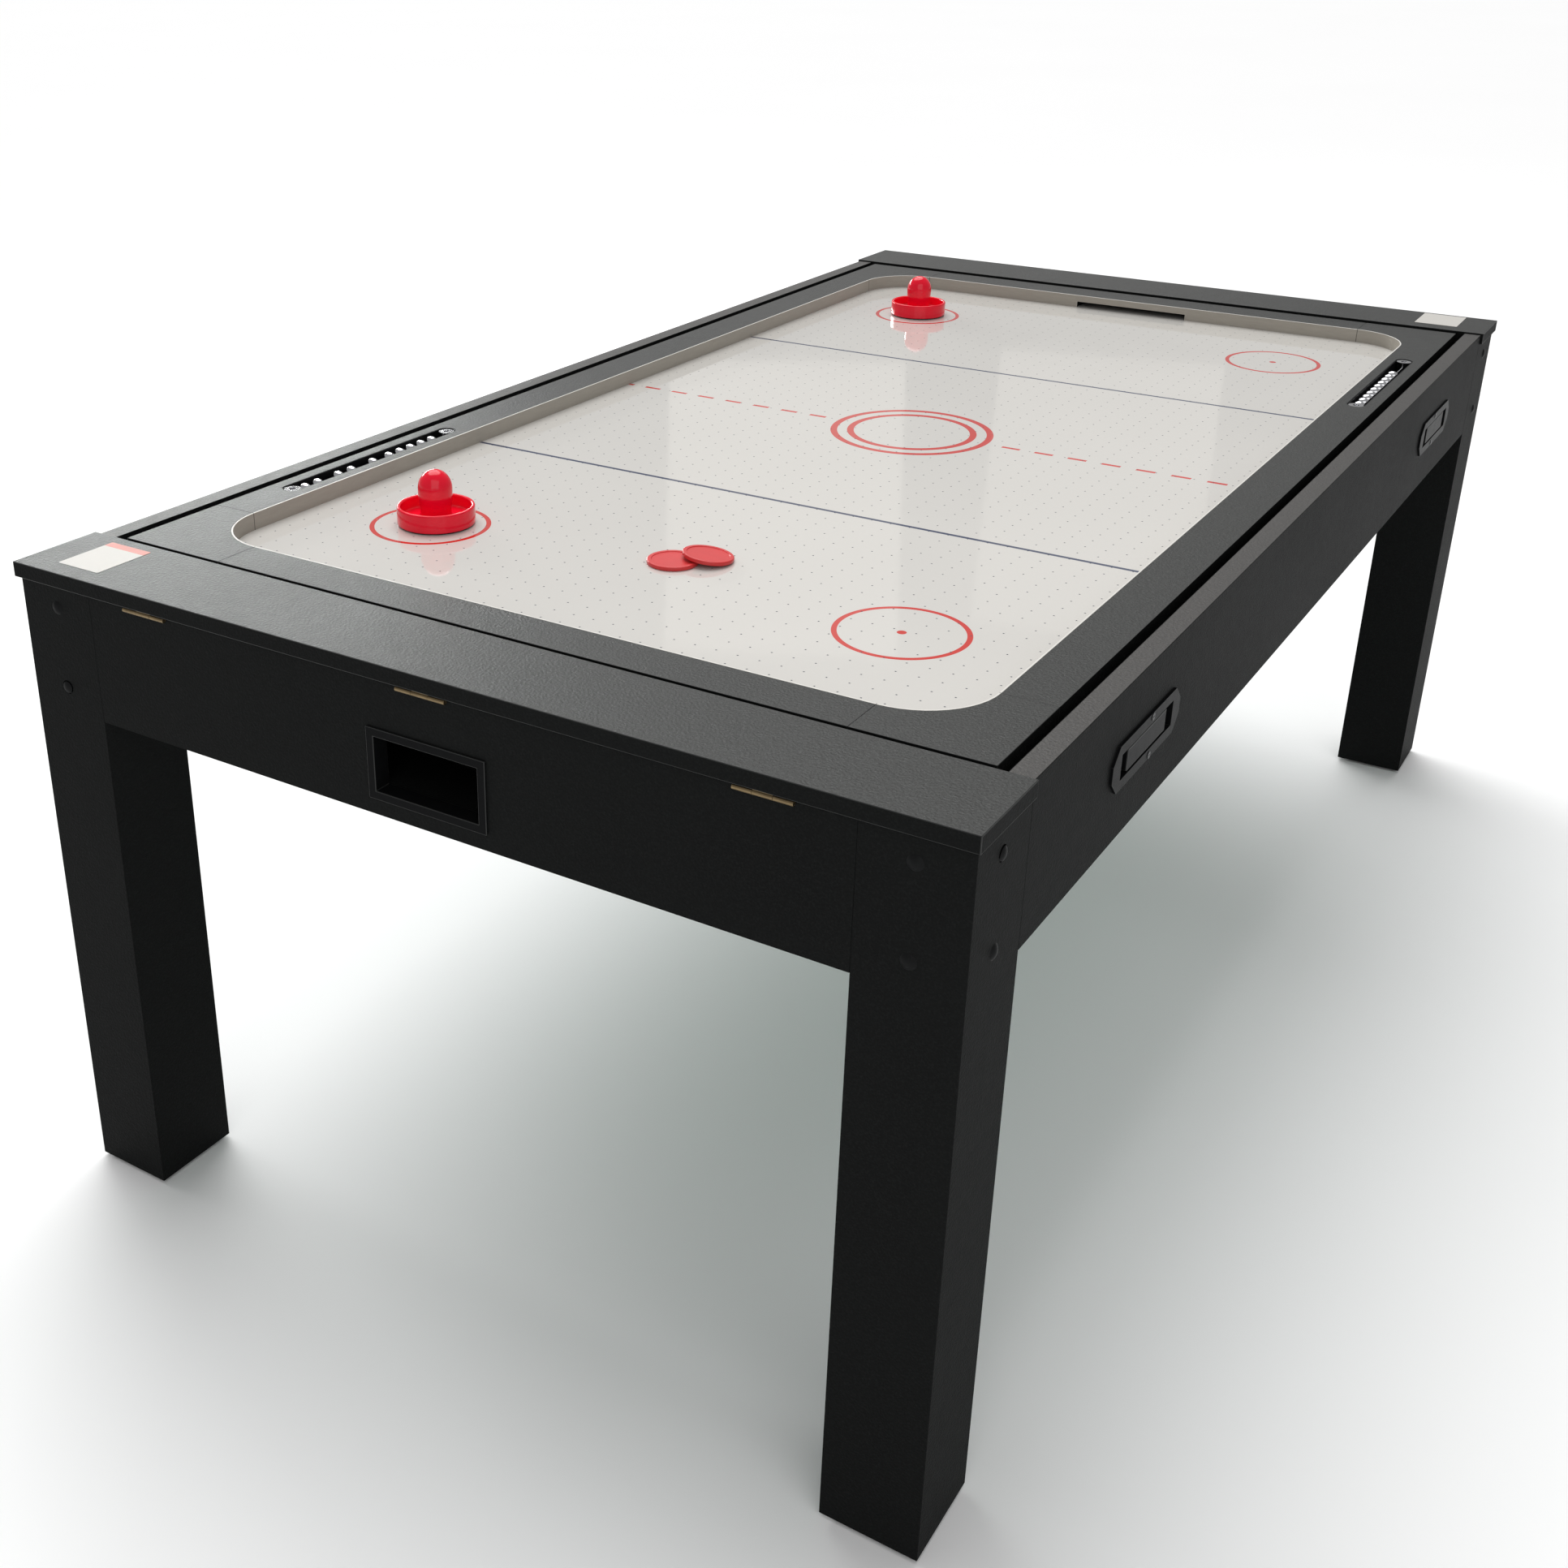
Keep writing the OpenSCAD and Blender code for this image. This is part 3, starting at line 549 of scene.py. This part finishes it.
# nodes whose names start so: slot, finish, finish of the eased edges, their width and segments
# eased edges given the edge finish carry its painted highlight
fittings = {
    "return_windows": ("black_plastic", "plastic", "edge", 0.0008, 3),
    "latch_plates": ("black_plastic", "plastic", "edge", 0.0009, 3),
    "latch_far_": ("black_plastic", "plastic", "edge", 0.0012, 3),
    "latch_near_": ("black_plastic", "plastic", "edge", 0.0012, 3),
    "bolt_caps": ("black_plastic", "cap", None, 0, 0),
    "power_inlet": ("black_plastic", "plastic", "plastic", 0.0006, 2),
    "power_switch": ("switch_plastic", "switch", "switch", 0.0005, 2),
    "scorer_trays": ("black_plastic", "plastic", "plastic", 0.0003, 2),
    "frame_screws": ("steel", "screw", "screw", 0.00015, 2),
    "hinge_leaves_": ("brass", "brass", "brass", 0.00015, 2),
    "hinge_pins": ("brass", "brass", None, 0, 0),
    "pivot_bushes": ("brass", "bronze", "bronze", 0.0005, 2),
    "pivot_pins": ("steel", "steel", "steel", 0.0005, 2),
    "latch_strikes": ("steel", "steel", None, 0, 0),
    "scorer_rods": ("steel", "chrome", "chrome", 0.0004, 2),
    "foot_": ("black_plastic", "foot", "foot", 0.0004, 2),
}
airBox = {
    "air_box_ribs": ("raw_board", "board", "board", 0.0005, 2),
    "blower_housing": ("black_plastic", "plastic", "plastic", 0.0006, 2),
    "blower_impeller": ("black_plastic", "plastic", None, 0, 0),
    "blower_motor": ("steel", "steel", "steel", 0.0006, 2),
    "blower_lead": ("black_plastic", "lead", None, 0, 0),
}


def dressAll(pieces):
    for start, (slot, main, edge, width, segments) in pieces.items():
        for node in [n for n in nodes if n.startswith(start)]:
            dressed(node, finish[main], finish.get(edge), width, segments)


def playfield():
    h = airHoles
    low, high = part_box("playfield")
    clearSelection()
    bpy.ops.mesh.primitive_plane_add(size=h["pitch"], location=(0, 0, high.z))
    piece = bpy.context.object
    bpy.ops.object.transform_apply(location=True)
    bpy.ops.object.mode_set(mode="EDIT")
    bpy.ops.mesh.select_all(action="SELECT")
    bpy.ops.mesh.inset(thickness=h["pitch"] / 2 - h["radius"])
    bpy.ops.mesh.bevel(offset=h["radius"] * h["corner"], affect="VERTICES", segments=1)
    bpy.ops.object.mode_set(mode="OBJECT")
    centreFace = min(piece.data.polygons, key=lambda face: face.center.xy.length)
    for face in piece.data.polygons:
        face.select = face.index == centreFace.index
    bpy.ops.object.mode_set(mode="EDIT")
    bpy.ops.mesh.select_mode(type="FACE")
    bpy.ops.mesh.inset(thickness=h["radius"] * h["taper"], depth=-h["depth"])
    bpy.ops.object.mode_set(mode="OBJECT")
    for axis, count in ((0, h["columns"]), (1, h["rows"])):
        row = piece.modifiers.new("row", "ARRAY")
        row.count = count
        row.use_relative_offset = False
        row.use_constant_offset = True
        row.constant_offset_displace = [h["pitch"] if i == axis else 0 for i in range(3)]
        row.use_merge_vertices = True
        row.merge_threshold = weldSpan
        focus(piece)
        bpy.ops.object.modifier_apply(modifier=row.name)
    shift = Vector((-(h["columns"] - 1) / 2, -(h["rows"] - 1) / 2, 0)) * h["pitch"]
    settled(piece, Matrix.Translation(shift))
    focus(piece)
    bpy.ops.object.mode_set(mode="EDIT")
    bpy.ops.mesh.select_mode(type="EDGE")
    bpy.ops.mesh.select_all(action="DESELECT")
    bpy.ops.mesh.select_non_manifold(extend=False, use_wire=False, use_multi_face=False,
                                     use_non_contiguous=False, use_verts=False)
    grid = (h["columns"] * h["pitch"] / 2, h["rows"] * h["pitch"] / 2)
    bpy.ops.mesh.extrude_edges_move()
    bpy.ops.transform.resize(value=(high.x / grid[0], high.y / grid[1], 1), center_override=(0, 0, high.z))
    bpy.ops.mesh.extrude_edges_move(TRANSFORM_OT_translate={"value": (0, 0, low.z - high.z)})
    bpy.ops.mesh.edge_face_add()
    bpy.ops.mesh.select_all(action="SELECT")
    bpy.ops.mesh.normals_make_consistent(inside=False)
    bpy.ops.object.mode_set(mode="OBJECT")
    smoothed(piece, 20)
    keep(piece, "playfield_board", "bed", finish["playfield"], ["playfield"])


malletShape = {
    "height": 67, "rim": 23.8, "wall": 4.6, "dish": 8.5, "knob": 20.8, "neck": 18.6, "felt": 1.5,
    "baseInset": 0.9, "round": 1.6, "dishRound": 2.5, "fillet": 5, "gripStart": 7, "crown": 1.12,
    "padFoot": 2.4, "padSide": 1.8, "padTop": 2.0, "padRound": 0.5, "padLift": 0.02,
    "gripSteps": 12, "crownSteps": 14, "steps": 128,
}


def inMetres(points):
    return [(x * mm, z * mm) for x, z in points]


def malletOutline(radius):
    m = malletShape
    felt, rim, wall, dish = m["felt"], m["rim"], m["wall"], m["dish"]
    knob, neck, height = m["knob"], m["neck"], m["height"]
    base, inner, fillet = m["round"], m["dishRound"], m["fillet"]
    points = [(0, felt), (radius - base - m["baseInset"], felt)]
    points += arc(radius - base, felt + base, base, -90, 0, 4)
    points += arc(radius - wall / 2, rim - wall / 2, wall / 2, 0, 180, 10)
    points += arc(radius - wall - inner, dish + inner, inner, 0, -90, 4)
    points += arc(neck + fillet, dish + fillet, fillet, 270, 180, 6)
    low, widest = dish + m["gripStart"], height - knob * m["crown"]
    for i in range(1, m["gripSteps"] + 1):
        rise = i / m["gripSteps"]
        points += [(neck + (knob - neck) * math.sin(math.pi / 2 * rise), low + (widest - low) * rise)]
    for i in range(1, m["crownSteps"] + 1):
        turn = math.pi / 2 * i / (m["crownSteps"] + 1)
        points += [(knob * math.cos(turn), widest + (height - widest) * math.sin(turn))]
    return inMetres(points + [(0, height)])


def padOutline(radius):
    m = malletShape
    side, top = radius - m["padSide"], radius - m["padTop"]
    foot = (radius - m["padFoot"], m["padLift"])
    return inMetres([(0, m["padLift"]), foot, (side, m["padRound"]), (top, m["felt"]), (0, m["felt"])])


def mallets():
    for node in ("mallet_near", "mallet_far"):
        low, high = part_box(node)
        at = Matrix.Translation(footOf(node))
        radius = (high.x - low.x) / 2 / mm
        grip = settled(turned(malletOutline(radius), malletShape["steps"]), at)
        smoothed(grip)
        keep(grip, node + "_grip", node, finish["mallet"], [node])
        pad = settled(turned(padOutline(radius), malletShape["steps"]), at)
        smoothed(pad)
        keep(pad, node + "_felt", node, finish["felt"])


puckShape = {
    "radius": 30, "thick": 5, "round": 1.6, "rim": 4.6, "dish": 0.9, "lip": 0.45, "slope": 0.8,
    "lean": 7.5, "steps": 96,
}


def puckOutline():
    p = puckShape
    radius, thick, dish, lip = p["radius"], p["thick"], p["dish"], p["lip"]
    side, rim = radius - p["round"], radius - p["rim"]
    points = [(0, dish), (rim - p["slope"], dish)] + arc(rim, lip, lip, 180, 270, 3)
    points += arc(side, p["round"], p["round"], -90, 0, 5)
    points += arc(side, thick - p["round"], p["round"], 0, 90, 5)
    points += arc(rim, thick - lip, lip, 90, 180, 3)
    return inMetres(points + [(rim - p["slope"], thick - dish), (0, thick - dish)])


def puckPieces():
    flatAt, leanAt = footOf("puck_flat"), centreOf("puck_leaning")
    away = (leanAt - flatAt).xy
    turn, lean = math.atan2(away.y, away.x), math.radians(puckShape["lean"])
    tilt = Matrix.Rotation(turn, 4, "Z") @ Matrix.Rotation(lean, 4, "Y")
    middle = tilt @ Vector((0, 0, puckShape["thick"] / 2 * mm))
    leaned = Matrix.Translation(leanAt - middle) @ tilt
    for node, at in {"puck_flat": Matrix.Translation(flatAt), "puck_leaning": leaned}.items():
        disc = settled(turned(puckOutline(), puckShape["steps"]), at)
        smoothed(disc)
        keep(disc, node + "_disc", node, finish["puck"], [node])


beadShape = {"bore": 1.65, "squeeze": 0.82, "steps": 40, "arcSteps": 16, "pitch": 0.0235}


def beads():
    b = beadShape
    for node in [n for n in nodes if n.startswith("beads_")]:
        low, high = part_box(node)
        radius = (high.z - low.z) / 2 / mm
        lip = math.degrees(math.acos(b["bore"] / radius))
        ball = arc(0, 0, radius, -lip, lip, b["arcSteps"])
        outline = inMetres([(x, z * b["squeeze"]) for x, z in ball + ball[:1]])
        parts = []
        for x in beadPlaces(node):
            at = Matrix.Translation((x, (low.y + high.y) / 2, (low.z + high.z) / 2))
            parts.append(settled(turned(outline, b["steps"]), at @ Matrix.Rotation(math.pi / 2, 4, "Y")))
        clearSelection()
        for part in parts:
            part.select_set(True)
        bpy.context.view_layer.objects.active = parts[0]
        if len(parts) > 1:
            bpy.ops.object.join()
        smoothed(parts[0], 60)
        keep(parts[0], node + "_balls", node, finish["chrome"], [node])


def beadPlaces(node):
    # centres of the beads along X, spaced evenly over the node's box
    low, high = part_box(node)
    radius = (high.z - low.z) / 2
    count = round((high.x - low.x - 2 * radius) / beadShape["pitch"]) + 1
    if count == 1:
        return [(low.x + high.x) / 2]
    step = (high.x - low.x - 2 * radius) / (count - 1)
    return [low.x + radius + step * i for i in range(count)]


poolEdge = {"cushions": 0.003, "pockets": 0.0008}


def poolSide():
    sheet = dressed("pool_cloth", finish["cloth"])
    dressed("pool_cushions", finish["cushion"], finish["cushion"], poolEdge["cushions"], 4)
    dressed("pool_pockets", finish["plastic"], finish["plastic"], poolEdge["pockets"], 3)


labels = {
    "label_near": {"body": "flap_near", "x": (-1.057, -0.979), "y": (0.465, 0.527), "headed": True},
    "label_far": {"body": "flap_far", "x": (0.993, 1.075), "y": (-0.524, -0.457), "headed": False},
}
labelPaper = {"thick": 0.00025, "round": 0.002, "head": 0.006, "red": (0.60, 0.16, 0.12)}


def labelPieces():
    for name, label in labels.items():
        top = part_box(label["body"])[1].z
        (x0, x1), (y0, y1) = label["x"], label["y"]
        clearSelection()
        bpy.ops.mesh.primitive_plane_add(size=1)
        piece = bpy.context.object
        middle = Matrix.Translation(((x0 + x1) / 2, (y0 + y1) / 2, top))
        settled(piece, middle @ Matrix.Diagonal((x1 - x0, y1 - y0, 1, 1)))
        bpy.ops.object.mode_set(mode="EDIT")
        bpy.ops.mesh.select_all(action="SELECT")
        bpy.ops.mesh.bevel(offset=labelPaper["round"], affect="VERTICES", segments=4)
        bpy.ops.mesh.select_all(action="SELECT")
        bpy.ops.mesh.extrude_region_move(TRANSFORM_OT_translate={"value": (0, 0, labelPaper["thick"])})
        bpy.ops.mesh.select_all(action="SELECT")
        bpy.ops.mesh.normals_make_consistent(inside=False)
        bpy.ops.object.mode_set(mode="OBJECT")
        headAt = x1 - labelPaper["head"] if label["headed"] else x1 + 1
        finish[name] = paper(name + " paper", headAt)
        keep(piece, name, label["body"], finish[name])


boards()
print("boards made")
dressAll(fittings)
print("fittings made")
dressAll(airBox)
print("blower dressed")
playfield()
print("playfield drilled")
mallets()
puckPieces()
print("mallets and pucks turned")
beads()
print("beads turned")
poolSide()
print("pool side dressed")
labelPieces()
print("labels laid")

studio = {
    "floor": 160, "world": (0.96, 0.96, 0.96), "worldStrength": 0.38,
    "sun": 2.5, "sunFrom": (2.2, 2.0, 5.2), "sunSpread": 55,
    "camera": (-2.2924, -1.0370, 1.5014), "yaw": 33.12, "pitch": 24.02, "roll": 0.06,
    "lens": 42.04, "sensor": 36, "shift": (0.0938, -0.0623), "lampAim": (0, 0, 0.8),
}


def floorFinish():
    f = Finish("studio floor")
    cloud = f.noise(0.6, 2.0)
    return f.surface(
        baseColor=f.mixed(cloud, (0.92, 0.92, 0.92), (0.94, 0.94, 0.94)),
        roughness=0.75 + (cloud - 0.5) * 0.05)


warmLight = (1.0, 0.96, 0.88)
dayLight = (0.97, 1.0, 0.98)
layers = {"far_window": 4, "middle_window": 4}
layerStep = 0.14
softBoxes = {
    "far_window": {"place": (5.2, 3.0, 2.9), "size": (0.8, 1.0), "power": 2.6, "colour": warmLight},
    "middle_window": {"place": (5.6, 1.6, 2.7), "size": (0.7, 0.9), "power": 1.4, "colour": warmLight},
    "side_window": {"place": (2.8, 5.2, 1.95), "size": (3.4, 0.6), "power": 110, "colour": dayLight},
    "fill": {"place": (-4.6, -3.2, 4.0), "size": (6.0, 6.0), "power": 110, "colour": (1, 1, 1)},
}


def softBox(name, place, size, power, colour):
    # lamps of one middle and rising size lie over each other, so the edge fades out
    count = layers.get(name, 1)
    spans = [1 + (2 * i + 1 - count) * layerStep for i in range(count)]
    for i, span in enumerate(spans):
        lamp = bpy.data.lights.new(name + str(i), "AREA")
        lamp.shape = "RECTANGLE"
        lamp.size, lamp.size_y = size[0] * span, size[1] * span
        lamp.energy = power * span ** 2 / count
        lamp.color = colour
        holder = bpy.data.objects.new(lamp.name, lamp)
        bpy.context.scene.collection.objects.link(holder)
        holder.location = place
        toTable = Vector(studio["lampAim"]) - Vector(place)
        holder.rotation_euler = toTable.to_track_quat("-Z", "Y").to_euler()


def studioSetup():
    clearSelection()
    bpy.ops.mesh.primitive_plane_add(size=studio["floor"])
    floor = bpy.context.object
    floor.name = "studio_floor"
    floor.data.materials.append(floorFinish())
    world = bpy.data.worlds.new("studio")
    bpy.context.scene.world = world
    world.use_nodes = True
    air = world.node_tree.nodes["Background"].inputs
    air["Color"].default_value = (*studio["world"], 1)
    air["Strength"].default_value = studio["worldStrength"]
    sky = bpy.data.lights.new("sky", "SUN")
    sky.energy = studio["sun"]
    sky.angle = math.radians(studio["sunSpread"])
    skyHolder = bpy.data.objects.new("sky", sky)
    bpy.context.scene.collection.objects.link(skyHolder)
    skyHolder.rotation_euler = Vector(studio["sunFrom"]).to_track_quat("Z", "Y").to_euler()
    for name, lamp in softBoxes.items():
        softBox(name, **lamp)
    data = bpy.data.cameras.new("camera")
    data.lens = studio["lens"]
    data.sensor_width = studio["sensor"]
    data.shift_x, data.shift_y = studio["shift"]
    camera = bpy.data.objects.new("camera", data)
    bpy.context.scene.collection.objects.link(camera)
    yaw, pitch = math.radians(studio["yaw"]), math.radians(studio["pitch"])
    ahead = Vector((math.cos(pitch) * math.cos(yaw), math.cos(pitch) * math.sin(yaw), -math.sin(pitch)))
    aim = ahead.to_track_quat("-Z", "Y").to_matrix().to_4x4()
    roll = Matrix.Rotation(math.radians(studio["roll"]), 4, "Z")
    camera.matrix_world = Matrix.Translation(studio["camera"]) @ aim @ roll
    bpy.context.scene.camera = camera


studioSetup()
bpy.context.scene.view_settings.view_transform = "Standard"
print("studio set")
